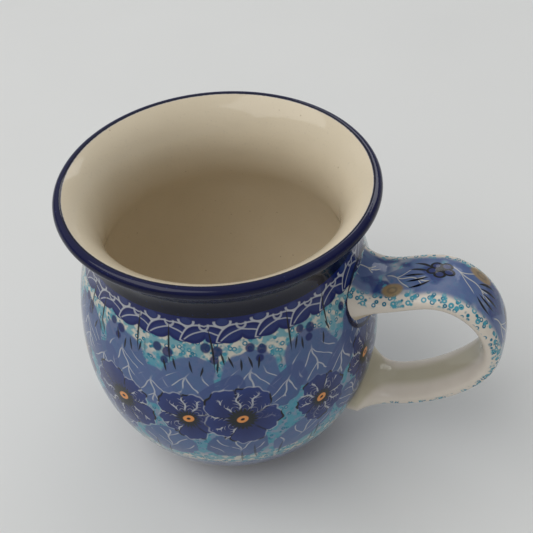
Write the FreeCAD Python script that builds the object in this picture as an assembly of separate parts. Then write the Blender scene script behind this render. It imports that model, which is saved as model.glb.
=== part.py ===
import FreeCAD, Part
import math
import os

# Polish stoneware mug: a bellied stoneware body with a flared lip, a strap
# handle luted on at two roots, and the fired glaze coats over the clay.
# Millimetres, +Z up. The origin is the centre of the foot ring, on the plane
# that the mug stands on, and the handle points along +X.

# Driving dimensions of the glazed outside
height = 105.0
lip_radius = 49.0
bead_radius = 1.9
neck_radius = 42.1
neck_height = 91.0
belly_radius = 49.8
belly_height = 46.0
upper_belly_arc = 106.0
lower_belly_arc = 56.3
shell_start_height = 2.6

# Driving dimensions of the glazed inside
throat_radius = 36.8
throat_height = 88.5
inner_belly_radius = 45.2
inner_belly_height = 46.0
inner_upper_arc = 80.0
inner_lower_arc = 53.5
floor_corner_arc = 12.0
floor_height = 6.5

# Foot ring
foot_outer_radius = 29.6
foot_inner_radius = 25.2
foot_edge_radius = 0.9
foot_recess = 2.2

# Glaze coats
glaze = 0.35
lip_band_end = 100.0
neck_band_height = 88.5

# Handle strap: centreline as (distance from the axis, height)
strap_path = [
    (36.0, 72.0),
    (55.0, 75.0),
    (70.5, 79.5),
    (82.5, 72.5),
    (86.7, 56.5),
    (78.8, 42.7),
    (66.5, 32.9),
    (53.0, 28.2),
    (40.0, 28.6),
]
upper_strap_width = 24.2
lower_strap_width = 16.4
strap_thickness = 6.6
strap_squareness = 0.82
section_points = 16
section_count = 29

# Flared roots of the strap, where it meets the wall
upper_root_width = 27.0
upper_root_thickness = 17.0
lower_root_width = 26.0
lower_root_thickness = 14.5
flare_length = 14.0
strap_in_wall = 8.0
slip_bed = 0.8

Z_AXIS = FreeCAD.Vector(0, 0, 1)
ORIGIN = FreeCAD.Vector(0, 0, 0)


def at(radius, z):
    """A point of the half section, in the XZ plane."""
    return FreeCAD.Vector(radius, 0, z)


def on_circle(centre, radius, degrees):
    angle = math.radians(degrees)
    return at(centre[0] + radius * math.cos(angle), centre[1] + radius * math.sin(angle))


def arc_edge(centre, radius, start, end):
    """Arc of the half section from one polar angle to another, in degrees."""
    first = on_circle(centre, radius, start)
    middle = on_circle(centre, radius, (start + end) / 2)
    last = on_circle(centre, radius, end)
    return Part.Arc(first, middle, last).toShape()


def line_edge(first, last):
    return Part.makeLine(first, last)


def polar_degrees(centre, target):
    return math.degrees(math.atan2(target[1] - centre[1], target[0] - centre[0]))


def s_curve_radius(convex_radius, radius_step, height_step):
    """Radius of the arc that runs tangent from a vertical arc to a second vertical."""
    both = (radius_step ** 2 + height_step ** 2) / (2 * radius_step)
    return both - convex_radius


def tangent_flare_radius(vertical_radius, vertical_height, sign):
    """Radius of an arc that is vertical at a throat and tangent to the lip's bead.

    sign is +1 where the arc touches the bead from outside, -1 where it holds the bead.
    """
    across = lip_radius - bead_radius - vertical_radius
    up = height - bead_radius - vertical_height
    return (across ** 2 + up ** 2 - bead_radius ** 2) / (2 * (across + sign * bead_radius))


bead_centre = (lip_radius - bead_radius, height - bead_radius)

# Arc centres and radii of the outside, from the foot to the lip
lower_belly_centre = (belly_radius - lower_belly_arc, belly_height)
upper_belly_centre = (belly_radius - upper_belly_arc, belly_height)
waist_arc = s_curve_radius(upper_belly_arc, belly_radius - neck_radius, neck_height - belly_height)
waist_centre = (neck_radius + waist_arc, neck_height)
flare_arc = tangent_flare_radius(neck_radius, neck_height, 1)
flare_centre = (neck_radius + flare_arc, neck_height)
shell_start_angle = -math.degrees(math.asin((belly_height - shell_start_height) / lower_belly_arc))
waist_turn = polar_degrees(upper_belly_centre, waist_centre)
bead_turn = polar_degrees(flare_centre, bead_centre)
neck_band_angle = 180 + math.degrees(math.asin((neck_height - neck_band_height) / waist_arc))

# Arc centres and radii of the inside, from the lip to the floor
funnel_arc = tangent_flare_radius(throat_radius, throat_height, -1)
funnel_centre = (throat_radius + funnel_arc, throat_height)
funnel_turn = polar_degrees(funnel_centre, bead_centre)
inner_waist_arc = s_curve_radius(
    inner_upper_arc, inner_belly_radius - throat_radius, throat_height - inner_belly_height)
inner_waist_centre = (throat_radius + inner_waist_arc, throat_height)
inner_upper_centre = (inner_belly_radius - inner_upper_arc, inner_belly_height)
inner_turn = polar_degrees(inner_upper_centre, inner_waist_centre)
inner_lower_centre = (inner_belly_radius - inner_lower_arc, inner_belly_height)
corner_height = floor_height + floor_corner_arc
corner_reach = inner_lower_arc - floor_corner_arc
corner_centre = (
    inner_lower_centre[0] + math.sqrt(corner_reach ** 2 - (inner_belly_height - corner_height) ** 2),
    corner_height)
corner_turn = polar_degrees(inner_lower_centre, corner_centre)


def belly_arcs(inset):
    """Outside from the foot up to the neck band; inset moves it into the clay."""
    return [
        arc_edge(lower_belly_centre, lower_belly_arc - inset, shell_start_angle, 0),
        arc_edge(upper_belly_centre, upper_belly_arc - inset, 0, waist_turn),
        arc_edge(waist_centre, waist_arc + inset, waist_turn + 180, neck_band_angle),
    ]


def neck_arcs(inset):
    """Outside from the neck band's lower edge, over the neck, to the top of the lip's bead."""
    waist_radius = waist_arc + inset
    return [
        arc_edge(waist_centre, waist_radius, neck_band_angle, 180),
        arc_edge(flare_centre, flare_arc + inset, 180, bead_turn),
        arc_edge(bead_centre, bead_radius - inset, bead_turn - 180, lip_band_end),
    ]


def inside_arcs(inset):
    """Inside from the top of the bead, down the throat, to the floor's centre."""
    floor = floor_height - inset
    return [
        arc_edge(bead_centre, bead_radius - inset, lip_band_end, funnel_turn),
        arc_edge(funnel_centre, funnel_arc - inset, funnel_turn, 180),
        arc_edge(inner_waist_centre, inner_waist_arc - inset, 180, inner_turn + 180),
        arc_edge(inner_upper_centre, inner_upper_arc + inset, inner_turn, 0),
        arc_edge(inner_lower_centre, inner_lower_arc + inset, 0, corner_turn),
        arc_edge(corner_centre, floor_corner_arc + inset, corner_turn, -90),
        line_edge(at(corner_centre[0], floor), at(0, floor)),
    ]


def start_of(edges):
    return edges[0].valueAt(edges[0].FirstParameter)


def end_of(edges):
    return edges[-1].valueAt(edges[-1].LastParameter)


def turned(edges):
    """Solid of revolution of a closed half section."""
    face = Part.Face(Part.Wire(Part.__sortEdges__(edges)))
    return Part.Solid(face.revolve(ORIGIN, Z_AXIS, 360))


def coat(outline):
    """Glaze coat between an outline and the same outline inset by the glaze."""
    outer = outline(0)
    inner = outline(glaze)
    edges = outer + inner
    edges.append(line_edge(start_of(outer), start_of(inner)))
    edges.append(line_edge(end_of(outer), end_of(inner)))
    return turned(edges)


def foot_edges(shell_start):
    """Bare foot ring and the recess inside it, from the wall's start to the axis."""
    edge = foot_edge_radius
    ceiling = foot_recess + glaze
    outer = (foot_outer_radius - edge, edge)
    inner = (foot_inner_radius + edge, edge)
    return [
        line_edge(shell_start, on_circle(outer, edge, 0)),
        arc_edge(outer, edge, 0, -90),
        line_edge(on_circle(outer, edge, -90), on_circle(inner, edge, -90)),
        arc_edge(inner, edge, -90, -180),
        line_edge(on_circle(inner, edge, -180), at(foot_inner_radius, ceiling)),
        line_edge(at(foot_inner_radius, ceiling), at(0, ceiling)),
    ]


def body_wall():
    """Clay body in one piece: foot, belly, neck and lip, with the hollow inside."""
    belly = belly_arcs(glaze)
    inside = inside_arcs(glaze)
    foot = foot_edges(start_of(belly))
    axis = line_edge(end_of(inside), end_of(foot))
    return turned(belly + neck_arcs(glaze) + inside + foot + [axis])


def filled_body(inset):
    """Everything inside the body's outside surface, for trimming the handle."""
    belly = belly_arcs(inset)
    neck = neck_arcs(inset)
    bottom = at(0, start_of(belly).z)
    top = at(0, end_of(neck).z)
    edges = belly + neck
    edges.append(line_edge(end_of(neck), top))
    edges.append(line_edge(top, bottom))
    edges.append(line_edge(bottom, start_of(belly)))
    return turned(edges)


def base_glaze():
    """Glazed disc in the recess inside the foot ring."""
    return Part.makeCylinder(foot_inner_radius, glaze, at(0, foot_recess), Z_AXIS)


def handle_centreline():
    curve = Part.BSplineCurve()
    curve.interpolate([at(radius, z) for radius, z in strap_path])
    return curve


def squared(value):
    """Rounds a section's corners less than an ellipse does."""
    return math.copysign(abs(value) ** strap_squareness, value)


def section_wire(place, tangent, width, thickness):
    """Closed crowned section of the strap, square to the centreline."""
    across = FreeCAD.Vector(0, 1, 0)
    outward = tangent.cross(across).normalize()
    points = []
    for index in range(section_points):
        angle = 2 * math.pi * index / section_points
        side = across * (width / 2 * squared(math.cos(angle)))
        lift = outward * (thickness / 2 * squared(math.sin(angle)))
        points.append(place + side + lift)
    curve = Part.BSplineCurve()
    curve.interpolate(points, PeriodicFlag=True)
    return Part.Wire(curve.toShape())


def clamped(share):
    return min(max(share, 0.0), 1.0)


def root_flare(distance):
    """Share of the full flare at a distance along the strap from the wall's face."""
    return clamped(1 - distance / flare_length) ** 3


def strap_section(distance, length):
    """Width and thickness of the strap, which narrows downwards and flares at its roots."""
    downwards = clamped((distance - strap_in_wall) / (length - 2 * strap_in_wall))
    upper = root_flare(distance - strap_in_wall)
    lower = root_flare(length - strap_in_wall - distance)
    width = upper_strap_width + downwards * (lower_strap_width - upper_strap_width)
    width += upper * (upper_root_width - upper_strap_width)
    width += lower * (lower_root_width - lower_strap_width)
    thickness = strap_thickness
    thickness += upper * (upper_root_thickness - strap_thickness)
    thickness += lower * (lower_root_thickness - strap_thickness)
    return width, thickness


def swept_strap(inset):
    """Strap along the centreline, flared at both roots; inset is taken off every side."""
    curve = handle_centreline()
    length = curve.length()
    wires = []
    for index in range(section_count):
        distance = length * index / (section_count - 1)
        parameter = curve.parameterAtDistance(distance, curve.FirstParameter)
        width, thickness = strap_section(distance, length)
        tangent = FreeCAD.Vector(*curve.tangent(parameter)[0])
        wires.append(section_wire(curve.value(parameter), tangent, width - 2 * inset, thickness - 2 * inset))
    return Part.makeLoft(wires, True, False)


def largest(shape):
    return max(shape.Solids, key=lambda solid: solid.Volume)


def handle_pieces(glazed):
    """Strap, the beds of slip under its two roots, and the glaze over all of them."""
    wall = filled_body(glaze)
    wall_with_slip = filled_body(glaze - slip_bed)
    clay = swept_strap(glaze)
    beds = clay.common(wall_with_slip).cut(wall)
    outside_beds = [bed for bed in beds.Solids if bed.CenterOfMass.x > neck_radius]
    lower_bed, upper_bed = sorted(outside_beds, key=lambda bed: bed.CenterOfMass.z)
    return {
        "handle_strap": largest(clay.cut(wall_with_slip)),
        "upper_slip_bed": upper_bed,
        "lower_slip_bed": lower_bed,
        "handle_glaze": largest(glazed.cut(clay).cut(wall)),
    }


def build():
    glazed_handle = swept_strap(0)
    nodes = {
        "body_wall": body_wall(),
        "exterior_glaze": largest(coat(belly_arcs).cut(glazed_handle)),
        "lip_glaze": coat(neck_arcs),
        "interior_glaze": coat(inside_arcs),
        "base_glaze": base_glaze(),
    }
    nodes.update(handle_pieces(glazed_handle))
    return nodes


os.makedirs("parts", exist_ok=True)
for node, shape in build().items():
    shape.exportStep("parts/" + node + ".step")
    print(node, "valid", shape.isValid(), "solids", len(shape.Solids), "mm3", round(shape.Volume, 1))
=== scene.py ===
import bisect
import math

import bpy
import numpy as np
from mathutils import Matrix, Vector


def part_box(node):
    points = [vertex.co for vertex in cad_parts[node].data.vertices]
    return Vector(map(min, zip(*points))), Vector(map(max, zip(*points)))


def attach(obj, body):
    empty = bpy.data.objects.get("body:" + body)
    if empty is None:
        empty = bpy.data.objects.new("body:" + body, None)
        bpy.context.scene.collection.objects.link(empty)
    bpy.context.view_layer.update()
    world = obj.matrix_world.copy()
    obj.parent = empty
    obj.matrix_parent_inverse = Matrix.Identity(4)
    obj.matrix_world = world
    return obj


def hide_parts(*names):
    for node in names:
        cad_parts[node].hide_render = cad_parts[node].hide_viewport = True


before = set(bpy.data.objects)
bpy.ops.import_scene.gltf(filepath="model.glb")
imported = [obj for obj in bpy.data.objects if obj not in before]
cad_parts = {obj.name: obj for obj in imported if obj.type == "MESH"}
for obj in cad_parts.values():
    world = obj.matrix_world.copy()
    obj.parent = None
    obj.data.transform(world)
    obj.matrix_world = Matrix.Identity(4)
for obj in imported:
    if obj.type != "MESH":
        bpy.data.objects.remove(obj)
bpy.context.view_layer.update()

# The mug's visual model: high-resolution glaze coats and clay on the CAD's own profile, painted
# with node-based underglaze decoration. Lengths are in millimetres until a mesh is written.

MM = 0.001

# Profile, from the frame where a node's box gives it
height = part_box("lip_glaze")[1][2] / MM
lip_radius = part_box("lip_glaze")[1][1] / MM
belly_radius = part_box("exterior_glaze")[1][1] / MM
neck_band_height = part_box("exterior_glaze")[1][2] / MM
shell_start_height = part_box("exterior_glaze")[0][2] / MM
bead_radius = 1.9
neck_radius = 42.1
neck_height = 91.0
belly_height = 46.0
upper_belly_arc = 106.0
lower_belly_arc = 56.3
throat_radius = 36.8
throat_height = 88.5
inner_belly_radius = 45.2
inner_upper_arc = 80.0
inner_lower_arc = 53.5
floor_corner_arc = 12.0
floor_height = 6.5
glaze = 0.35
lip_band_end = 100.0

# Handle strap: centreline as (distance from the axis, height), and its sections
strap_path = [(36.0, 72.0), (55.0, 75.0), (70.5, 79.5), (82.5, 72.5), (86.7, 56.5),
              (78.8, 42.7), (66.5, 32.9), (53.0, 28.2), (40.0, 28.6)]
upper_strap_width = 24.2
lower_strap_width = 16.4
strap_thickness = 6.6
strap_squareness = 0.82
upper_root_width = 27.0
upper_root_thickness = 17.0
lower_root_width = 26.0
lower_root_thickness = 14.5
flare_length = 14.0
strap_in_wall = 8.0

# Mesh resolution, in millimetres where it is a step
turns_around = 384
profile_step = 0.8
coarse_step = 3.0
strap_rings = 200
strap_sides = 96
sharp_angle = 40.0
path_samples = 2000
seat_depth = 2.0
inside_step = profile_step * 1.5

# UV maps: the millimetres that a whole map covers, and the maps' names
uv_length = 400.0
wrap_map = "wrap"
strap_map = "strap"

# Decoration: millimetres, with heights measured along the wall from the coat's lower edge.
# belly_degree and neck_degree are the millimetres in a degree of turn there, and ring_radius is
# in cells of the sponged texture. Lean, bend, gaps and strength are shares.
belly_degree = 0.87
neck_degree = 0.75
garland_count = 26
garland_height = 88.0
garland_gap = 5.2
garland_leaf = {"tilt": 26, "shift": 2.7, "lift": -0.6, "half_length": 4.9, "half_width": 2.7}
bud_height = 3.6
bud_radius = 2.3
tip_height = 2.6
tip_radius = 1.3
berry_count = 18
berry_height = 80.5
berries = ((-1.9, 0.6, 1.45), (1.7, -0.5, 1.6), (0.6, -3.4, 1.3))
ring_radius = 0.3
ring_band = (24, 89)
wash_band = (35, 77)
sponge_band = (26, 87)
low_wash_height = 27
foot_line_height = 10.5
foot_line_half_width = 0.9
foot_band_height = 6.5
drift_reach = 3.2
line_half_width = 0.6
lip_fringe = 0.55
neck_band_reach = 8.0
crest_outside = 2.4
crest_inside = 0.6
root_rings = ((75.9, 15.2, 10.6), (31.0, 14.6, 9.0))
upper_leaves = {"count": 15, "first": 11, "height": 71.0, "half_length": 10.5, "half_width": 9.4,
                "lean": 1.2, "upward": -1, "veins": 5.6}
between_leaves = {"count": 15, "first": 23, "height": 65.0, "half_length": 7.5,
                  "half_width": 6.6, "lean": 1.6, "upward": -1, "veins": 5.2}
lower_leaves = {"count": 14, "first": 9, "height": 41.5, "half_length": 8.0, "half_width": 9.8,
                "lean": 1.6, "upward": 1, "veins": 6.0}
hanging_strokes = {"count": 24, "first": 1, "height": 81.5, "length": 14.0, "width": 0.34,
                   "scatter": 7, "lift": 3, "lean": 0.25, "bend": 0.02, "gaps": 0.25,
                   "strength": 0.95}
short_strokes = {"count": 120, "first": 2, "height": 77.0, "length": 4.4, "width": 0.36,
                 "scatter": 1.6, "lift": 5, "lean": 0.7, "bend": 0.1, "gaps": 0.4,
                 "strength": 0.95}
low_strokes = {"count": 60, "first": 0, "height": 33.0, "length": 10.0, "width": 0.4,
               "scatter": 4, "lift": 6, "lean": 0.5, "bend": 0.03, "gaps": 0.35,
               "strength": 0.6}

# Glaze: the clear coat's gloss, and bump heights in metres
body_ior = 1.5
coat_ior = 1.35
coat_roughness = 0.06
swell_height = 0.0006
grain_height = 0.00012

# Stage: metres and watts; each light is azimuth, elevation, distance, size, power and colour
floor_size = 8.0
floor_cuts = 48
sweep_start = 2.0
sweep_rise = 0.35
sweep_top = 1.6
world_bright = 0.84
world_dim = 0.08
world_azimuth = -95.0
world_elevation = 72.0
world_middle = 0.4
world_softness = 0.6
lights = (
    ("window", -50, 60, 1.6, (1.5, 1.0), 10.6, (1.0, 0.995, 0.98)),
    ("back_window", 176, 38, 1.4, (0.9, 0.24), 1.6, (1.0, 1.0, 1.0)),
)

# Camera: degrees, metres, and millimetres for its lens
camera_azimuth = 24.4
camera_elevation = 36.78
camera_distance = 0.25421
camera_yaw = 2.69
camera_pitch = -6.33
camera_roll = -5.74
camera_lens = 57.41
sensor_width = 36.0
camera_clip = 0.01

# Flowers; in places, each has degrees along, millimetres up and size in millimetres
eye_radius = 1.75
pupil_radius = 0.62
eye_tilt = 20
place_range = 20
far_pansies = {"first": 16.8, "height": 55.0, "places": [
    (3.0, 1.0, 9.6), (-4.0, -0.8, 10.2), (2.0, 0.8, 9.0), (0.5, -1.2, 10.5), (-3.0, 0.6, 9.2),
    (1.4, 0.4, 10.4), (-1.4, -1.0, 9.8)]}
near_pansies = {"first": 40.2, "height": 55.0, "places": [
    (-2.0, -0.5, 11.8), (3.0, 0.6, 12.2), (-1.0, -1.0, 11.2), (2.0, 0.4, 12.0),
    (2.8, -0.1, 12.6), (-2.8, 0.9, 12.6), (1.0, 0.2, 11.4)]}

# Handle motifs: millimetres along the strap, across its outer face, and size, with a fern's
# heading in degrees
leaf_spacing = 16.5
tan_ovals = ((21.0, 6.2, 2.6), (44.0, -6.5, 2.6), (69.0, -3.0, 2.4), (96.0, 3.0, 2.2))
ferns = ((27.0, 0.5, 9.0, 180), (48.0, 0.5, 8.5, 0), (80.0, -1.0, 7.0, 0))
ring_flowers = ((33.5, -1.8), (58.5, -5.0), (104.0, 0.0))
ring_petals = 5
ring_petal_reach = 2.1
face_half_width = 12.8
face_narrowing = 0.026
face_border = 4.2
face_drift_reach = 3
small_ring_radius = 0.26


def polar_degrees(centre, target):
    return math.degrees(math.atan2(target[1] - centre[1], target[0] - centre[0]))


def s_curve_radius(convex_radius, radius_step, height_step):
    return (radius_step ** 2 + height_step ** 2) / (2 * radius_step) - convex_radius


def tangent_flare_radius(vertical_radius, vertical_height, sign):
    across = lip_radius - bead_radius - vertical_radius
    up = height - bead_radius - vertical_height
    return (across ** 2 + up ** 2 - bead_radius ** 2) / (2 * (across + sign * bead_radius))


bead_centre = (lip_radius - bead_radius, height - bead_radius)
lower_belly_centre = (belly_radius - lower_belly_arc, belly_height)
upper_belly_centre = (belly_radius - upper_belly_arc, belly_height)
waist_arc = s_curve_radius(upper_belly_arc, belly_radius - neck_radius, neck_height - belly_height)
waist_centre = (neck_radius + waist_arc, neck_height)
flare_arc = tangent_flare_radius(neck_radius, neck_height, 1)
flare_centre = (neck_radius + flare_arc, neck_height)
shell_start_angle = -math.degrees(math.asin((belly_height - shell_start_height) / lower_belly_arc))
waist_turn = polar_degrees(upper_belly_centre, waist_centre)
bead_turn = polar_degrees(flare_centre, bead_centre)
neck_band_angle = 180 + math.degrees(math.asin((neck_height - neck_band_height) / waist_arc))
funnel_arc = tangent_flare_radius(throat_radius, throat_height, -1)
funnel_centre = (throat_radius + funnel_arc, throat_height)
funnel_turn = polar_degrees(funnel_centre, bead_centre)
inner_waist_arc = s_curve_radius(
    inner_upper_arc, inner_belly_radius - throat_radius, throat_height - belly_height)
inner_waist_centre = (throat_radius + inner_waist_arc, throat_height)
inner_upper_centre = (inner_belly_radius - inner_upper_arc, belly_height)
inner_turn = polar_degrees(inner_upper_centre, inner_waist_centre)
inner_lower_centre = (inner_belly_radius - inner_lower_arc, belly_height)
corner_height = floor_height + floor_corner_arc
corner_reach = inner_lower_arc - floor_corner_arc
corner_centre = (
    inner_lower_centre[0] + math.sqrt(corner_reach ** 2 - (belly_height - corner_height) ** 2),
    corner_height)
corner_turn = polar_degrees(inner_lower_centre, corner_centre)


# Outlines


def arc_points(centre, radius, start, end, step):
    count = max(2, math.ceil(abs(math.radians(end - start)) * radius / step))
    angles = [math.radians(start + (end - start) * k / count) for k in range(count + 1)]
    return [(centre[0] + radius * math.cos(a), centre[1] + radius * math.sin(a)) for a in angles]


def line_points(first, last, step):
    length = math.dist(first, last)
    count = max(1, math.ceil(length / step))
    return [(first[0] + (last[0] - first[0]) * k / count,
             first[1] + (last[1] - first[1]) * k / count) for k in range(count + 1)]


def joined(runs):
    """One outline from runs that end where the next one starts."""
    points = list(runs[0])
    for run in runs[1:]:
        points.extend(run[1:])
    return points


def belly_outline(inset, step):
    return joined([
        arc_points(lower_belly_centre, lower_belly_arc - inset, shell_start_angle, 0, step),
        arc_points(upper_belly_centre, upper_belly_arc - inset, 0, waist_turn, step),
        arc_points(waist_centre, waist_arc + inset, waist_turn + 180, neck_band_angle, step),
    ])


def neck_outline(inset, step):
    bead_step = step / 4
    return joined([
        arc_points(waist_centre, waist_arc + inset, neck_band_angle, 180, step),
        arc_points(flare_centre, flare_arc + inset, 180, bead_turn, step / 2),
        arc_points(bead_centre, bead_radius - inset, bead_turn - 180, lip_band_end, bead_step),
    ])


def inside_outline(inset, step):
    floor = floor_height - inset
    return joined([
        arc_points(bead_centre, bead_radius - inset, lip_band_end, funnel_turn, step / 4),
        arc_points(funnel_centre, funnel_arc - inset, funnel_turn, 180, step),
        arc_points(inner_waist_centre, inner_waist_arc - inset, 180, inner_turn + 180, step),
        arc_points(inner_upper_centre, inner_upper_arc + inset, inner_turn, 0, step),
        arc_points(inner_lower_centre, inner_lower_arc + inset, 0, corner_turn, step),
        arc_points(corner_centre, floor_corner_arc + inset, corner_turn, -90, step),
        line_points((corner_centre[0], floor), (0, floor), step * 2),
    ])


# Meshes


def lathe(name, outline, uv_map, first_length):
    """Closed body of revolution of a closed half section, with turn and arc length as its UV map."""
    rows = []
    vertices = []
    for radius, z in outline:
        if radius < 1e-6:
            rows.append([len(vertices)] * turns_around)
            vertices.append((0, 0, z * MM))
            continue
        rows.append(range(len(vertices), len(vertices) + turns_around))
        for turn in range(turns_around):
            angle = 2 * math.pi * turn / turns_around
            vertices.append((radius * math.cos(angle) * MM, radius * math.sin(angle) * MM, z * MM))
    lengths = [first_length]
    for first, second in zip(outline, outline[1:] + outline[:1]):
        lengths.append(lengths[-1] + math.dist(first, second))
    faces = []
    corners = []
    for row in range(len(outline)):
        below = rows[row]
        above = rows[(row + 1) % len(outline)]
        for turn in range(turns_around):
            after = (turn + 1) % turns_around
            face = [below[turn], below[after], above[after], above[turn]]
            uvs = [(turn, row), (turn + 1, row), (turn + 1, row + 1), (turn, row + 1)]
            kept = [k for k in range(4) if face[k] != face[k - 1]]
            if len(kept) < 3:
                continue
            faces.append([face[k] for k in kept])
            corners.extend(
                (uvs[k][0] / turns_around, lengths[uvs[k][1]] / uv_length) for k in kept)
    return meshed(name, vertices, faces, corners, uv_map)


def meshed(name, vertices, faces, corners, uv_map):
    mesh = bpy.data.meshes.new(name)
    mesh.from_pydata(vertices, [], faces)
    layer = mesh.uv_layers.new(name=uv_map)
    layer.data.foreach_set("uv", [value for corner in corners for value in corner])
    mesh.validate()
    mesh.shade_smooth()
    mesh.set_sharp_from_angle(angle=math.radians(sharp_angle))
    piece = bpy.data.objects.new(name, mesh)
    bpy.context.scene.collection.objects.link(piece)
    return piece


def coat(name, outline, step, first_length):
    """Glaze coat: an outline and, a glaze's thickness under it, the same outline back again."""
    outside = outline(0, step)
    underside = outline(glaze, coarse_step)
    return lathe(name, outside + underside[::-1], wrap_map, first_length)


def natural_spline(points):
    """Second derivatives of the smooth curve through the points, by chord length."""
    chords = [0.0]
    for first, second in zip(points, points[1:]):
        chords.append(chords[-1] + math.dist(first, second))
    count = len(points)
    bends = []
    for axis in range(2):
        system = np.zeros((count, count))
        right = np.zeros(count)
        system[0, 0] = 1
        system[-1, -1] = 1
        for k in range(1, count - 1):
            before = chords[k] - chords[k - 1]
            after = chords[k + 1] - chords[k]
            system[k, k - 1:k + 2] = (before, 2 * (before + after), after)
            rise = (points[k + 1][axis] - points[k][axis]) / after
            run = (points[k][axis] - points[k - 1][axis]) / before
            right[k] = 6 * (rise - run)
        bends.append(np.linalg.solve(system, right))
    return chords, bends


def spline_point(points, chords, bends, distance):
    k = min(max(bisect.bisect(chords, distance) - 1, 0), len(points) - 2)
    span = chords[k + 1] - chords[k]
    late = (distance - chords[k]) / span
    early = 1 - late
    place = []
    for axis in range(2):
        straight = early * points[k][axis] + late * points[k + 1][axis]
        bent = (early ** 3 - early) * bends[axis][k] + (late ** 3 - late) * bends[axis][k + 1]
        place.append(straight + bent * span ** 2 / 6)
    return place


def wall_radius(z):
    """Radius of the glazed outside at a height below the neck."""
    if z < belly_height:
        return lower_belly_centre[0] + math.sqrt(lower_belly_arc ** 2 - (z - belly_height) ** 2)
    turn_height = upper_belly_centre[1] + upper_belly_arc * math.sin(math.radians(waist_turn))
    if z < turn_height:
        return upper_belly_centre[0] + math.sqrt(upper_belly_arc ** 2 - (z - belly_height) ** 2)
    return waist_centre[0] - math.sqrt(waist_arc ** 2 - (z - neck_height) ** 2)


def clamped(share):
    return min(max(share, 0.0), 1.0)


def strap_section(distance, length):
    """Width and thickness of the strap, which narrows downwards and flares at its roots."""
    downwards = clamped((distance - strap_in_wall) / (length - 2 * strap_in_wall))
    upper = clamped(1 - (distance - strap_in_wall) / flare_length) ** 3
    lower = clamped(1 - (length - strap_in_wall - distance) / flare_length) ** 3
    width = upper_strap_width + downwards * (lower_strap_width - upper_strap_width)
    width += upper * (upper_root_width - upper_strap_width)
    width += lower * (lower_root_width - lower_strap_width)
    thickness = strap_thickness
    thickness += upper * (upper_root_thickness - strap_thickness)
    thickness += lower * (lower_root_thickness - strap_thickness)
    return width, thickness


def squared(value):
    """Rounds a section's corners less than an ellipse does."""
    return math.copysign(abs(value) ** strap_squareness, value)


def strap_ring(place, tangent, width, thickness):
    """One closed section, from the middle of the inner face round to it again."""
    ring = []
    for side in range(strap_sides):
        angle = 2 * math.pi * side / strap_sides - math.pi / 2
        across = width / 2 * squared(math.cos(angle))
        lift = thickness / 2 * squared(math.sin(angle))
        ring.append((place[0] - tangent[1] * lift, across, place[1] + tangent[0] * lift))
    return ring


def seated(ring):
    """Keeps a section's points from reaching deeper than the middle of the wall."""
    moved = []
    buried = 0
    for x, y, z in ring:
        seat = math.sqrt(max((wall_radius(z) - seat_depth) ** 2 - y * y, 0))
        buried += x < seat
        moved.append((max(x, seat), y, z))
    return moved, buried == len(ring)


def strap_rings_in_place():
    """Sections of the strap between the two places where it leaves the wall, with their distances."""
    chords, bends = natural_spline(strap_path)
    walk = [spline_point(strap_path, chords, bends, chords[-1] * k / path_samples)
            for k in range(path_samples + 1)]
    travelled = [0.0]
    for first, second in zip(walk, walk[1:]):
        travelled.append(travelled[-1] + math.dist(first, second))
    length = travelled[-1]
    rings = []
    for index in range(strap_rings + 1):
        distance = length * index / strap_rings
        k = min(max(bisect.bisect(travelled, distance) - 1, 0), path_samples - 1)
        late = (distance - travelled[k]) / (travelled[k + 1] - travelled[k])
        place = [walk[k][axis] * (1 - late) + walk[k + 1][axis] * late for axis in range(2)]
        before = walk[max(k - 1, 0)]
        after = walk[min(k + 2, path_samples)]
        stride = math.dist(before, after)
        tangent = [(after[axis] - before[axis]) / stride for axis in range(2)]
        width, thickness = strap_section(distance, length)
        ring, buried = seated(strap_ring(place, tangent, width, thickness))
        rings.append((distance, ring, buried))
    first = max(k for k in range(strap_rings // 2) if rings[k][2])
    last = min(k for k in range(strap_rings // 2, strap_rings + 1) if rings[k][2])
    return rings[first:last + 1]


def strap(name):
    """Glazed handle: the swept strap, closed by a cap inside the wall at each end."""
    rings = strap_rings_in_place()
    vertices = [(x * MM, y * MM, z * MM) for _, ring, _ in rings for x, y, z in ring]
    layout = []
    for distance, ring, _ in rings:
        around = [0.0]
        for first, second in zip(ring, ring[1:] + ring[:1]):
            around.append(around[-1] + math.dist(first, second))
        layout.append([(0.5 + (s - around[-1] / 2) / uv_length, distance / uv_length)
                       for s in around])
    faces = []
    corners = []
    for row in range(len(rings) - 1):
        for side in range(strap_sides):
            after = (side + 1) % strap_sides
            below = row * strap_sides
            above = below + strap_sides
            faces.append([below + side, below + after, above + after, above + side])
            corners.extend([layout[row][side], layout[row][side + 1],
                            layout[row + 1][side + 1], layout[row + 1][side]])
    start = list(range(strap_sides))[::-1]
    end = [len(vertices) - strap_sides + side for side in range(strap_sides)]
    faces.extend([start, end])
    corners.extend([layout[0][side] for side in start])
    corners.extend([layout[-1][side] for side in range(strap_sides)])
    return meshed(name, vertices, faces, corners, strap_map)


# Node arithmetic


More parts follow.
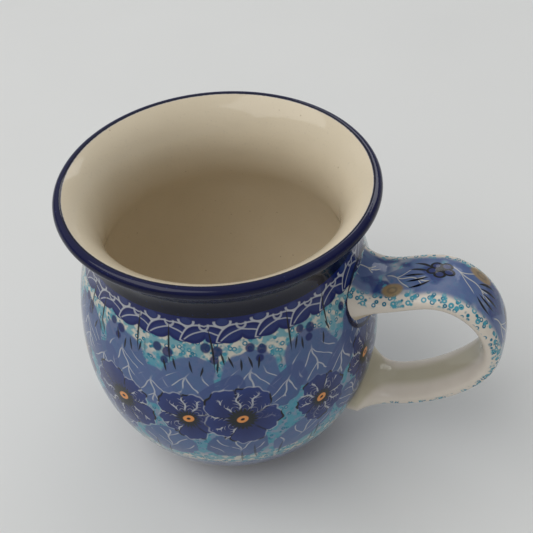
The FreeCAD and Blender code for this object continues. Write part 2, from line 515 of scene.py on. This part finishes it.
class Term:
    """A number in a node tree; Python's arithmetic on it adds Math nodes."""

    def __init__(self, tree, socket):
        self.tree = tree
        self.socket = socket

    def math(self, operation, *others):
        node = self.tree.nodes.new("ShaderNodeMath")
        node.operation = operation
        for slot, value in zip(node.inputs, (self,) + others):
            feed(slot, value)
        return Term(self.tree, node.outputs[0])

    def __add__(self, other):
        return self.math("ADD", other)

    def __radd__(self, other):
        return self.math("ADD", other)

    def __mul__(self, other):
        return self.math("MULTIPLY", other)

    def __rmul__(self, other):
        return self.math("MULTIPLY", other)

    def __sub__(self, other):
        return self.math("SUBTRACT", other)

    def __rsub__(self, other):
        return (self * -1) + other

    def __truediv__(self, other):
        return self.math("DIVIDE", other)

    def __pow__(self, other):
        return self.math("POWER", other)

    def __abs__(self):
        return self.math("ABSOLUTE")

    def floor(self):
        return self.math("FLOOR")

    def sine(self):
        return self.math("SINE")

    def least(self, other):
        return self.math("MINIMUM", other)

    def most(self, other):
        return self.math("MAXIMUM", other)

    def modulo(self, other):
        return self.math("FLOORED_MODULO", other)


def feed(slot, value):
    """Gives a node's input a constant, or links the term that makes it."""
    if isinstance(value, Term):
        value.tree.links.new(value.socket, slot)
    else:
        slot.default_value = value


def hypot(x, y):
    return (x * x + y * y) ** 0.5


def edge(depth, softness):
    """1 where a depth into a shape is over the softness, 0 where it is as far outside."""
    node = depth.tree.nodes.new("ShaderNodeMapRange")
    node.interpolation_type = "SMOOTHSTEP"
    feed(node.inputs["Value"], depth)
    node.inputs["From Min"].default_value = -softness
    node.inputs["From Max"].default_value = softness
    return Term(depth.tree, node.outputs["Result"])


def between(value, low, high, softness):
    return edge((value - low).least(high - value), softness)


def turned(x, y, degrees):
    cosine = math.cos(math.radians(degrees))
    sine = math.sin(math.radians(degrees))
    return x * cosine + y * sine, y * cosine - x * sine


def chance(index, seed):
    """A steady random number for each whole index."""
    node = index.tree.nodes.new("ShaderNodeTexWhiteNoise")
    node.noise_dimensions = "1D"
    feed(node.inputs["W"], index + seed * 7.31)
    return Term(index.tree, node.outputs["Value"])


def noise(place, scale, detail, seed):
    node = place.tree.nodes.new("ShaderNodeTexNoise")
    node.noise_dimensions = "4D"
    feed(node.inputs["Vector"], place)
    node.inputs["W"].default_value = seed
    node.inputs["Scale"].default_value = scale
    node.inputs["Detail"].default_value = detail
    return Term(place.tree, node.outputs[0])


def cell_distance(place, scale):
    node = place.tree.nodes.new("ShaderNodeTexVoronoi")
    feed(node.inputs["Vector"], place)
    node.inputs["Scale"].default_value = scale
    return Term(place.tree, node.outputs["Distance"])


def looked_up(index, values):
    """The value at a whole index, for values from 0 to 1."""
    node = index.tree.nodes.new("ShaderNodeValToRGB")
    ramp = node.color_ramp
    ramp.interpolation = "CONSTANT"
    while len(ramp.elements) < len(values):
        ramp.elements.new(1.0)
    for k, value in enumerate(values):
        ramp.elements[k].position = k / len(values)
        ramp.elements[k].color = (value, value, value, 1)
    feed(node.inputs["Fac"], (index + 0.5) / len(values))
    return Term(index.tree, node.outputs["Color"])


def linear(red, green, blue):
    """Shader colour for an sRGB colour from 0 to 255."""
    return tuple(((c / 255 + 0.055) / 1.055) ** 2.4 if c > 10 else c / 3294.6
                 for c in (red, green, blue)) + (1.0,)


def mixed(share, first, second):
    """Colour between two colours."""
    node = share.tree.nodes.new("ShaderNodeMix")
    node.data_type = "RGBA"
    feed(node.inputs["Factor"], share)
    slots = [slot for slot in node.inputs if slot.type == "RGBA"]
    feed(slots[0], first)
    feed(slots[1], second)
    result = [slot for slot in node.outputs if slot.type == "RGBA"]
    return Term(share.tree, result[0])


def tinted(colour, tint):
    """A colour multiplied by another."""
    node = colour.tree.nodes.new("ShaderNodeMix")
    node.data_type = "RGBA"
    node.blend_type = "MULTIPLY"
    node.inputs[0].default_value = 1.0
    slots = [slot for slot in node.inputs if slot.type == "RGBA"]
    feed(slots[0], colour)
    feed(slots[1], tint)
    result = [slot for slot in node.outputs if slot.type == "RGBA"]
    return Term(colour.tree, result[0])


# Underglaze colours
cream = linear(208, 200, 184)
ground_cream = linear(194, 192, 184)
navy = linear(7, 12, 52)
deep_navy = linear(3, 5, 32)
neck_navy = linear(2, 6, 32)
crest_navy = linear(4, 9, 60)
cobalt = linear(12, 26, 90)
petal_blue = linear(42, 58, 114)
petal_dark = linear(37, 48, 98)
wash_blue = linear(84, 102, 144)
wash_pale = linear(98, 126, 160)
vein_cream = linear(182, 184, 190)
blotch_black = linear(34, 38, 34)
eye_orange = linear(222, 148, 84)
stroke_black = linear(10, 12, 20)
teal = linear(16, 112, 138)
pale_teal = linear(70, 148, 166)
tan = linear(150, 126, 84)
tan_dark = linear(104, 96, 84)
# Darker, olive cream for the strap's inner face: painted shade
painted_shade_cream = linear(188, 180, 158)
foot_blue = linear(52, 66, 116)
liner_light = linear(220, 207, 183)
liner_dark = linear(210, 196, 170)
liner_grain = linear(196, 184, 164)
liner_speck = linear(150, 126, 96)
handle_light = linear(222, 212, 200)
handle_dark = linear(208, 198, 184)
clay_light = linear(206, 192, 168)
clay_dark = linear(180, 164, 138)
clay_speck = linear(120, 92, 66)
slip_light = linear(200, 186, 162)
slip_dark = linear(186, 170, 146)
floor_light = linear(226, 226, 224)
floor_dark = linear(220, 220, 218)
world_colour = linear(232, 234, 236)


class Painting:
    """Colour of a surface, built up one brush layer at a time."""

    def __init__(self, ground):
        self.colour = ground

    def lay(self, colour, mask):
        self.colour = mixed(mask, self.colour, colour)


def coordinates(tree, uv_map):
    """Position in millimetres, and the two UV map values."""
    place = tree.nodes.new("ShaderNodeTexCoord")
    scale = tree.nodes.new("ShaderNodeVectorMath")
    scale.operation = "SCALE"
    scale.inputs["Scale"].default_value = 1 / MM
    tree.links.new(place.outputs["Object"], scale.inputs[0])
    layout = tree.nodes.new("ShaderNodeUVMap")
    layout.uv_map = uv_map
    split = tree.nodes.new("ShaderNodeSeparateXYZ")
    tree.links.new(layout.outputs["UV"], split.inputs[0])
    return Term(tree, scale.outputs[0]), Term(tree, split.outputs[0]), Term(tree, split.outputs[1])


# Decoration of the body


def cells(turn, count, first):
    """Whole index and centred angle, in degrees, of evenly spaced cells round the body."""
    width = 360.0 / count
    along = (turn * 360 - first + width / 2 + 360) / width
    index = along.floor()
    return index.modulo(count), (along - index - 0.5) * width


def lens(x, y, half_length, half_width):
    """Depth, in millimetres, into a leaf that lies along x."""
    return (1 - (x / half_length) ** 2) * half_width - abs(y)


def oval(x, y, half_length, half_width):
    """Depth, in millimetres, into a rounded leaf that lies along x."""
    return (1 - hypot(x / half_length, y / half_width)) * half_width


def chevrons(x, y, spacing, width):
    """Depth into a leaf's midrib and its slanting side veins."""
    slanted = (x - abs(y) * 1.1) / spacing
    veins = width - abs(slanted - slanted.floor() - 0.5) * spacing
    return (width - abs(y)).most(veins)


def garland(painting, turn, height_mm, drift):
    """Laurel band under the neck: crossing leaves on a cobalt ground, with cream gaps and buds. The
    full cobalt ground is partly the band's own colour and partly painted shade of the concave neck.
    """
    _, degrees = cells(turn, garland_count, 0)
    x = degrees * neck_degree + drift * 0.5
    y = height_mm + drift * 0.5 - garland_height
    # Cobalt ground over the band: partly its own colour, partly painted shade of the concave neck
    painting.lay(cobalt, edge(y - 1.5 + abs(x) * 0.25, 0.5))
    for side in (-1, 1):
        along, across = turned(x - side * garland_leaf["shift"], y - garland_leaf["lift"],
                               side * garland_leaf["tilt"])
        depth = lens(along, across, garland_leaf["half_length"], garland_leaf["half_width"])
        upper_side = edge(across + 0.6, 0.5)
        painting.lay(vein_cream, edge(depth + 0.55, 0.2) * upper_side * 0.9)
        painting.lay(cobalt, edge(depth, 0.2))
        painting.lay(petal_blue, edge(depth - 1.0, 0.5) * 0.5)
        rib = 0.2 - abs(across + along * along * 0.05 - 0.5)
        painting.lay(vein_cream, edge(rib, 0.12) * edge(depth - 0.6, 0.3) * 0.8)
    bud = hypot(x, (y - bud_height) * 1.3)
    lower_side = edge(bud_height + 0.3 - y, 0.3)
    painting.lay(vein_cream, edge(0.36 - abs(bud - bud_radius), 0.18) * lower_side * 0.9)
    painting.lay(petal_blue, edge(1.6 - bud, 0.4) * 0.8)
    tip = hypot(abs(x) - garland_gap, (y - tip_height) * 0.8)
    lower_side = edge(tip_height + 0.4 - y, 0.3)
    painting.lay(vein_cream, edge(0.3 - abs(tip - tip_radius), 0.16) * lower_side * 0.8)


def dot_clusters(painting, turn, height_mm, drift):
    """Loose groups of cobalt berries under the garland."""
    index, degrees = cells(turn, berry_count, 4)
    x = degrees * belly_degree + (chance(index, 1) - 0.5) * 6
    y = height_mm - berry_height - chance(index, 2) * 2
    for shift, lift, radius in berries:
        painting.lay(cobalt, edge(radius + drift * 0.35 - hypot(x - shift, y - lift), 0.35) * 0.9)


def rings(painting, distance, colour, radius, mask):
    """Small sponged rings with open centres."""
    painting.lay(colour, edge(0.1 - abs(distance - radius), 0.08) * mask)


def wash_leaves(painting, turn, height_mm, drift, noise_share, spec, seed):
    """Broad pale leaves with cream veins."""
    index, degrees = cells(turn, spec["count"], spec["first"])
    lean = (chance(index, seed) - 0.5) * spec["lean"]
    x = degrees * belly_degree + drift * 1.2
    y = height_mm - spec["height"] - (chance(index, seed + 1) - 0.5) * 3 + drift
    tipped = x + y * lean
    depth = oval(y, tipped, spec["half_length"], spec["half_width"])
    depth = depth + (y * 0.9 + abs(tipped)).sine() * 0.4
    shade = chance(index, seed + 2)
    body = mixed(shade * 0.6, wash_blue, petal_blue)
    painting.lay(body, edge(depth, 0.35) * 0.92)
    vein = chevrons(y * spec["upward"], tipped + (y * 0.8).sine() * 0.5, spec["veins"], 0.27)
    kept = edge(noise_share - 0.36, 0.05) * edge(y * spec["upward"] + 3.0, 2.0)
    painting.lay(vein_cream, edge(vein, 0.16) * edge(depth - 1.6, 0.6) * kept * 0.85)


def strokes(painting, turn, height_mm, spec, seed):
    """Thin tapering black brush strokes that hang or stand."""
    index, degrees = cells(turn, spec["count"], spec["first"])
    x = degrees * belly_degree + (chance(index, seed) - 0.5) * spec["scatter"]
    y = height_mm - spec["height"] - (chance(index, seed + 1) - 0.5) * spec["lift"]
    lean = (chance(index, seed + 2) - 0.5) * spec["lean"]
    bent = x + y * lean + y * y * (chance(index, seed + 3) - 0.5) * spec["bend"]
    length = spec["length"] * 0.5
    depth = lens(y - length * 0.3, bent, length, spec["width"])
    shown = edge(chance(index, seed + 4) - spec["gaps"], 0.01)
    painting.lay(stroke_black, edge(depth, 0.12) * shown * spec["strength"])


def pansy_petals(painting, around, away, lobes, index, size):
    """Petals with a broken cream and black outline; gives the depth into them."""
    ripple = (around * 13 + away * 0.5).sine() * 0.024 + (around * 23 + 1).sine() * 0.018
    skew = (around + index * 2.3).sine() * 0.07 + (around * 2 + index * 1.7).sine() * 0.06
    depth = size * (lobes ** 0.5 * 0.2 + 0.76 + ripple + skew) - away
    outlined = edge(chance(index, 22) - 0.15, 0.1) * 0.55
    painting.lay(vein_cream, edge(depth + 0.45, 0.2) * outlined)
    dashes = (around * 7 + index * 2).sine() + (around * 3 + index).sine() * 0.5
    dashed = edge(dashes - 0.45, 0.2)
    painting.lay(stroke_black, edge(0.34 + dashes * 0.3 - abs(depth), 0.2) * dashed)
    tone = edge(depth - size * 0.25, 3.5)
    painting.lay(mixed(tone, petal_blue, petal_dark), edge(depth, 0.25))
    return depth


def pansy_veins(painting, around, away, index, size, drift):
    """Cream veins that branch outwards on some of the petals."""
    branch = abs((around * 5 + (away * 1.35).sine() * 0.32 + drift * 0.4).sine()) * away * 0.2
    sector = (around * 1.6).floor() + index * 5
    reach = between(away / size, 0.36, 0.86, 0.06) * edge(chance(sector, 23) - 0.3, 0.05)
    painting.lay(vein_cream, edge(0.27 - branch, 0.16) * reach * 0.9)
    twig = abs((away * 2.1 - abs((around * 5).sine()) * 3.2).sine())
    painting.lay(vein_cream, edge(0.2 - twig, 0.12) * edge(1.1 - branch, 0.3) * reach * 0.8)


def pansy_heart(painting, x, y, around, away, size, drift):
    """Feathered dark heart with an orange eye."""
    feather = (around * 21).sine() * 0.5 + (around * 34 + 1).sine() * 0.3 + drift * 0.6
    painting.lay(blotch_black, edge(size * 0.33 + feather * 1.2 - away, 0.35) * 0.94)
    eye_x, eye_y = turned(x, y, eye_tilt)
    eye = hypot(eye_x, eye_y * 1.25)
    painting.lay(eye_orange, edge(eye_radius - eye, 0.2))
    painting.lay(stroke_black, edge(pupil_radius - eye, 0.15))


def pansies(painting, turn, height_mm, drift, spec):
    """Row of five-petalled flowers, each with its own place and size."""
    index, degrees = cells(turn, len(spec["places"]), spec["first"])
    across = looked_up(index, [place[0] / place_range + 0.5 for place in spec["places"]])
    lift = looked_up(index, [place[1] / place_range + 0.5 for place in spec["places"]])
    size = looked_up(index, [place[2] / place_range for place in spec["places"]]) * place_range
    x = (degrees - (across - 0.5) * place_range) * belly_degree + drift * 0.5
    y = height_mm - spec["height"] - (lift - 0.5) * place_range + drift * 0.5
    away = hypot(x, y)
    around = y.math("ARCTAN2", x) + chance(index, 21) * 1.2
    lobes = abs((around * 2.5).sine())
    depth = pansy_petals(painting, around, away, lobes, index, size)
    seam = edge(0.3 - lobes * away * 0.4, 0.25)
    outer_part = edge(depth, 0.3) * edge(away - size * 0.42, 1.0)
    painting.lay(stroke_black, seam * outer_part * 0.75)
    pansy_veins(painting, around, away, index, size, drift)
    pansy_heart(painting, x, y, around, away, size, drift)


def root_lines(painting, turn, height_mm):
    """Navy line round each root of the handle."""
    _, degrees = cells(turn, 1, 0)
    for height_here, half_width, half_height in root_rings:
        x = degrees * belly_degree / half_width
        y = (height_mm - height_here) / half_height
        depth = line_half_width - abs(hypot(x, y) - 1) * half_height
        painting.lay(navy, edge(depth, 0.25) * 0.95)


# Materials


def glazed_shader(tree, colour, roughness, bump_height, bump_distance):
    """Coloured stoneware under a clear gloss coat that undulates slightly."""
    shader = tree.nodes["Principled BSDF"]
    feed(shader.inputs["Base Color"], colour)
    feed(shader.inputs["Roughness"], roughness)
    shader.inputs["IOR"].default_value = body_ior
    shader.inputs["Specular IOR Level"].default_value = 0.0
    shader.inputs["Coat Weight"].default_value = 1.0
    shader.inputs["Coat Roughness"].default_value = coat_roughness
    shader.inputs["Coat IOR"].default_value = coat_ior
    bump = tree.nodes.new("ShaderNodeBump")
    bump.inputs["Distance"].default_value = bump_distance
    bump.inputs["Strength"].default_value = 1.0
    feed(bump.inputs["Height"], bump_height)
    tree.links.new(bump.outputs["Normal"], shader.inputs["Normal"])
    tree.links.new(bump.outputs["Normal"], shader.inputs["Coat Normal"])


def new_material(name):
    material = bpy.data.materials.new(name)
    material.use_nodes = True
    return material


def gloss_swell(place):
    """Slow waves of a glazed surface with a fine orange-peel on top."""
    return noise(place, 0.06, 1, 11) + noise(place, 0.9, 2, 12) * 0.03


def decorated_material():
    material = new_material("decorated_glaze")
    tree = material.node_tree
    place, turn, raw = coordinates(tree, wrap_map)
    height_mm = raw * uv_length
    drift = (noise(place, 0.11, 2, 3) - 0.5) * drift_reach
    brush = noise(place, 0.35, 4, 5)
    mottled = mixed(brush, ground_cream, cream)
    painting = Painting(mottled)
    middle = between(height_mm + drift * 2, *wash_band, 4)
    painting.lay(wash_pale, middle * (brush * 0.7 + 0.5))
    distance = cell_distance(place, 0.52)
    patchy = edge(noise(place, 0.16, 2, 6) - 0.22, 0.1)
    rings(painting, distance, teal, ring_radius, between(height_mm, *ring_band, 2) * patchy)
    sponge = edge(noise(place, 0.42, 2, 7) - 0.48, 0.07) * between(height_mm, *sponge_band, 2)
    painting.lay(pale_teal, sponge * 0.8)
    gaps = noise(place, 0.22, 1, 9)
    for spec, seed in ((upper_leaves, 31), (between_leaves, 41), (lower_leaves, 51)):
        wash_leaves(painting, turn, height_mm, drift, gaps, spec, seed)
    dot_clusters(painting, turn, height_mm, drift)
    garland(painting, turn, height_mm, drift)
    for spec, seed in ((hanging_strokes, 61), (short_strokes, 71), (low_strokes, 81)):
        strokes(painting, turn, height_mm, spec, seed)
    for spec in (far_pansies, near_pansies):
        pansies(painting, turn, height_mm, drift, spec)
    low = low_wash_height - height_mm + drift * 2
    painting.lay(wash_blue, edge(low, 3) * 0.85)
    painting.lay(petal_blue, edge(noise(place, 0.2, 3, 8) - 0.45, 0.1) * edge(low, 5) * 0.7)
    foot_line = foot_line_half_width - abs(height_mm - foot_line_height)
    painting.lay(ground_cream, edge(foot_line, 0.25) * 0.8)
    painting.lay(foot_blue, edge(foot_band_height - height_mm, 0.5) * 0.9)
    root_lines(painting, turn, height_mm)
    depth_of_colour = mixed(brush, (0.9, 0.9, 0.9, 1), (1.08, 1.08, 1.08, 1))
    colour = tinted(painting.colour, depth_of_colour)
    glazed_shader(tree, colour, brush * 0.1 + 0.22, gloss_swell(place), swell_height)
    return material


def lip_material():
    """Navy lip, lighter navy on the bead's crest, over the dark neck band."""
    material = new_material("navy_glaze")
    tree = material.node_tree
    place, _, raw = coordinates(tree, wrap_map)
    height_mm = raw * uv_length
    cloud = noise(place, 0.25, 3, 14)
    painting = Painting(mixed(cloud, deep_navy, navy))
    crest = between(height_mm + (cloud - 0.5) * 0.5, lip_crest_start, lip_crest_end, 0.35)
    painting.lay(crest_navy, crest * 0.7)
    neck = edge(lip_arc_start + neck_band_reach - height_mm, 2.5)
    painting.lay(neck_navy, neck * 0.9)
    speck = edge(0.1 - cell_distance(place, 0.45), 0.03)
    painting.lay(petal_blue, speck * 0.4)
    glazed_shader(tree, painting.colour, cloud * 0.1 + 0.15, gloss_swell(place), swell_height)
    return material


def cream_material(name, edged):
    """Cream liner glaze with faint mottling and iron specks; edged gives it the lip's navy fringe."""
    material = new_material(name)
    tree = material.node_tree
    place, _, raw = coordinates(tree, wrap_map)
    cloud = noise(place, 0.05, 4, 15)
    painting = Painting(mixed(cloud, liner_light, liner_dark))
    grain = noise(place, 1.6, 2, 16)
    painting.lay(liner_grain, edge(grain - 0.66, 0.05) * 0.35)
    speck = edge(0.045 - cell_distance(place, 0.16), 0.015)
    painting.lay(liner_speck, speck * 0.5)
    if edged:
        fringe = lip_fringe - raw * uv_length + (grain - 0.5) * 0.25
        painting.lay(wash_blue, edge(fringe + 0.12, 0.14) * 0.7)
        painting.lay(deep_navy, edge(fringe, 0.1))
    glazed_shader(tree, painting.colour, cloud * 0.1 + 0.2, gloss_swell(place), swell_height)
    return material


def clay_material(name, light, dark, seed):
    """Bare fired clay: fine grain, iron specks and a dry surface."""
    material = new_material(name)
    tree = material.node_tree
    place, _, _ = coordinates(tree, wrap_map)
    grain = noise(place, 2.2, 4, seed)
    cloud = noise(place, 0.12, 3, seed + 1)
    painting = Painting(mixed(cloud, light, dark))
    painting.lay(dark, edge(grain - 0.58, 0.08) * 0.6)
    painting.lay(clay_speck, edge(0.07 - cell_distance(place, 0.5), 0.02) * 0.6)
    shader = tree.nodes["Principled BSDF"]
    feed(shader.inputs["Base Color"], painting.colour)
    feed(shader.inputs["Roughness"], grain * 0.2 + 0.72)
    bump = tree.nodes.new("ShaderNodeBump")
    bump.inputs["Distance"].default_value = grain_height
    feed(bump.inputs["Height"], grain)
    tree.links.new(bump.outputs["Normal"], shader.inputs["Normal"])
    return material


def fern(painting, x, y, size, face):
    """Fan of five black strokes that run along the strap and close in at one end."""
    for blade in range(-2, 3):
        along, across = turned(y + abs(blade) * size * 0.12, x - blade * size * 0.25, blade * 13)
        depth = lens(along, across + along * along * 0.03 * blade, size * 0.36, 0.45)
        painting.lay(stroke_black, edge(depth, 0.14) * face)


def ring_flower(painting, x, y, face):
    """Small flower of five dark rings round a dot."""
    around = y.math("ARCTAN2", x)
    sector = ((around / math.tau + 0.5) * ring_petals).floor()
    heading = ((sector + 0.5) / ring_petals - 0.5) * math.tau
    petal_x = x - heading.math("COSINE") * ring_petal_reach
    petal_y = y - heading.sine() * ring_petal_reach
    petal = hypot(petal_x, petal_y)
    painting.lay(petal_dark, edge(1.3 - petal, 0.2) * face * 0.9)
    painting.lay(stroke_black, edge(0.32 - abs(petal - 1.25), 0.12) * face)
    painting.lay(stroke_black, edge(0.75 - hypot(x, y), 0.2) * face)


def tan_oval(painting, x, y, radius):
    """Tan spot with a darker ring inside."""
    spot = radius - hypot(x, y)
    painting.lay(tan, edge(spot, 0.5) * 0.85)
    painting.lay(tan_dark, edge(0.3 - abs(spot - radius * 0.6), 0.25) * 0.6)


def strap_material():
    """Handle glaze: painted outer face, plain cream edges, and an inner face in a darker cream that
    is painted shade.
    """
    material = new_material("handle_glaze")
    tree = material.node_tree
    place, around, raw = coordinates(tree, strap_map)
    across = (around - 0.5) * uv_length
    along = raw * uv_length
    half = face_half_width - along * face_narrowing
    cloud = noise(place, 0.16, 3, 21)
    drift = (noise(place, 0.13, 2, 3) - 0.5) * face_drift_reach
    painting = Painting(mixed(cloud, handle_light, handle_dark))
    # Darker cream on the strap's inner face, towards the wall: painted shade
    painting.lay(painted_shade_cream, edge(abs(across) - half - strap_thickness, 2.0))
    face = edge(half - abs(across) + drift * 0.4, 0.5)
    inner = face * edge(half - face_border - abs(across) + drift * 0.6, 1.2)
    patch = edge(noise(place, 0.085, 2, 24) - 0.43, 0.05)
    painting.lay(wash_pale, inner * (cloud * 0.6 + 0.3))
    painting.lay(wash_blue, inner * patch * (cloud * 0.5 + 0.65))
    darker = edge(noise(place, 0.1, 2, 26) - 0.54, 0.04)
    painting.lay(petal_blue, inner * darker * (cloud * 0.5 + 0.6))
    distance = cell_distance(place, 0.55)
    rings(painting, distance, teal, ring_radius, face * (1.1 - inner))
    wide_distance = cell_distance(place, 0.42)
    rings(painting, wide_distance, pale_teal, small_ring_radius, face * (1.1 - inner))
    sponge = edge(noise(place, 0.5, 2, 28) - 0.56, 0.06)
    painting.lay(pale_teal, face * sponge * (1 - patch) * 0.9)
    bead = (along / leaf_spacing).floor()
    leaf_along = along - (bead + 0.5) * leaf_spacing
    leaf_across = across + (chance(bead, 91) - 0.5) * 6 + leaf_along * (chance(bead, 92) - 0.5)
    leaf = lens(leaf_along, leaf_across, leaf_spacing * 0.46, 4.8)
    painting.lay(wash_blue, edge(leaf, 0.4) * face * 0.8)
    vein = chevrons(leaf_along, leaf_across + (leaf_along * 0.9).sine() * 0.4, 6.5, 0.22)
    painting.lay(ground_cream, edge(vein, 0.15) * edge(leaf - 1.0, 0.5) * face * 0.85)
    for spot_along, spot_across, radius in tan_ovals:
        tan_oval(painting, across - spot_across, (along - spot_along) * 0.75, radius)
    for spot_along, spot_across, size, degrees in ferns:
        x, y = turned(across - spot_across, along - spot_along, degrees)
        fern(painting, x, y, size, face)
    for spot_along, spot_across in ring_flowers:
        ring_flower(painting, across - spot_across, along - spot_along, face)
    glazed_shader(tree, painting.colour, cloud * 0.1 + 0.2, gloss_swell(place), swell_height)
    return material


# Pieces and stage


def painted(node, material):
    """Gives a CAD node that stays in view its material."""
    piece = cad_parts[node]
    piece.data.materials.clear()
    piece.data.materials.append(material)


def placed(piece, material, node):
    """Material, body and frame node of a new piece."""
    piece.data.materials.append(material)
    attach(piece, "root")
    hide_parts(node)


def floor():
    """Flat pale floor that sweeps up into a low backdrop all round, well away from the mug."""
    bpy.ops.mesh.primitive_grid_add(
        x_subdivisions=floor_cuts, y_subdivisions=floor_cuts, size=floor_size)
    piece = bpy.context.object
    piece.name = "floor"
    for vertex in piece.data.vertices:
        beyond = max(math.hypot(vertex.co.x, vertex.co.y) - sweep_start, 0.0)
        vertex.co.z = min(sweep_rise * beyond ** 2, sweep_top)
    piece.data.shade_smooth()
    material = new_material("pale_floor")
    tree = material.node_tree
    place, _, _ = coordinates(tree, "UVMap")
    cloud = noise(place, 0.01, 2, 51)
    shader = tree.nodes["Principled BSDF"]
    feed(shader.inputs["Base Color"], mixed(cloud, floor_light, floor_dark))
    feed(shader.inputs["Roughness"], cloud * 0.1 + 0.8)
    shader.inputs["Specular IOR Level"].default_value = 0.0
    piece.data.materials.append(material)


def direction(azimuth, elevation):
    """Unit vector towards a place round the mug; azimuth 0 is the -Y side."""
    turn = math.radians(azimuth)
    rise = math.radians(elevation)
    return Vector((math.sin(turn) * math.cos(rise), -math.cos(turn) * math.cos(rise), math.sin(rise)))


def area_light(name, azimuth, elevation, distance, size, power, colour):
    """Rectangular soft light that faces the middle of the mug."""
    light = bpy.data.lights.new(name, "AREA")
    light.shape = "RECTANGLE"
    light.size = size[0]
    light.size_y = size[1]
    light.energy = power
    light.color = colour
    lamp = bpy.data.objects.new(name, light)
    bpy.context.scene.collection.objects.link(lamp)
    back = direction(azimuth, elevation)
    middle = Vector((0, 0, height * MM / 2))
    lamp.location = middle + back * distance
    lamp.rotation_mode = "QUATERNION"
    lamp.rotation_quaternion = (-back).to_track_quat("-Z", "Y")


def world_light():
    """Room light that is bright overhead, more so on the window's side, and dim low in front."""
    world = bpy.data.worlds.new("studio")
    bpy.context.scene.world = world
    world.use_nodes = True
    tree = world.node_tree
    way = tree.nodes.new("ShaderNodeTexCoord")
    facing = tree.nodes.new("ShaderNodeVectorMath")
    facing.operation = "DOT_PRODUCT"
    facing.inputs[1].default_value = direction(world_azimuth, world_elevation)
    tree.links.new(way.outputs["Generated"], facing.inputs[0])
    share = edge(Term(tree, facing.outputs["Value"]) - world_middle, world_softness)
    background = tree.nodes["Background"]
    background.inputs["Color"].default_value = world_colour
    feed(background.inputs["Strength"], share * (world_bright - world_dim) + world_dim)


def camera():
    """Camera at the photograph's viewing angle: it aims near the lip's centre, slightly turned."""
    back = direction(camera_azimuth, camera_elevation)
    forward = -back
    right = direction(camera_azimuth + 90, 0)
    up = right.cross(forward)
    yaw = math.radians(camera_yaw)
    pitch = math.radians(camera_pitch)
    roll = math.radians(camera_roll)
    forward, right = (forward * math.cos(yaw) + right * math.sin(yaw),
                      right * math.cos(yaw) - forward * math.sin(yaw))
    forward, up = (forward * math.cos(pitch) + up * math.sin(pitch),
                   up * math.cos(pitch) - forward * math.sin(pitch))
    right, up = (right * math.cos(roll) + up * math.sin(roll),
                 up * math.cos(roll) - right * math.sin(roll))
    lens_data = bpy.data.cameras.new("camera")
    lens_data.sensor_width = sensor_width
    lens_data.lens = camera_lens
    lens_data.clip_start = camera_clip
    eye = bpy.data.objects.new("camera", lens_data)
    place = Vector((0, 0, height * MM)) + back * camera_distance
    eye.matrix_world = Matrix((
        (right.x, up.x, -forward.x, place.x),
        (right.y, up.y, -forward.y, place.y),
        (right.z, up.z, -forward.z, place.z),
        (0, 0, 0, 1)))
    bpy.context.scene.collection.objects.link(eye)
    bpy.context.scene.camera = eye


def outline_length(points):
    return sum(math.dist(first, second) for first, second in zip(points, points[1:]))


lip_arc_start = outline_length(belly_outline(0, profile_step))
lip_arc_length = outline_length(neck_outline(0, profile_step))
lip_crest_start = lip_arc_start + lip_arc_length - crest_outside
lip_crest_end = lip_arc_start + lip_arc_length + crest_inside

liner_glaze = cream_material("liner_glaze", True)
base_coat = cream_material("base_coat", False)
stoneware = clay_material("stoneware_clay", clay_light, clay_dark, 31)
slip = clay_material("slip_join", slip_light, slip_dark, 37)
placed(coat("glaze_exterior", belly_outline, profile_step, 0), decorated_material(),
       "exterior_glaze")
placed(coat("glaze_lip", neck_outline, profile_step, lip_arc_start), lip_material(),
       "lip_glaze")
placed(coat("glaze_interior", inside_outline, inside_step, 0), liner_glaze,
       "interior_glaze")
placed(strap("glaze_handle"), strap_material(), "handle_glaze")
painted("body_wall", stoneware)
painted("handle_strap", stoneware)
painted("upper_slip_bed", slip)
painted("lower_slip_bed", slip)
painted("base_glaze", base_coat)

floor()
world_light()
for light in lights:
    area_light(*light)
camera()
bpy.context.scene.view_settings.view_transform = "Standard"
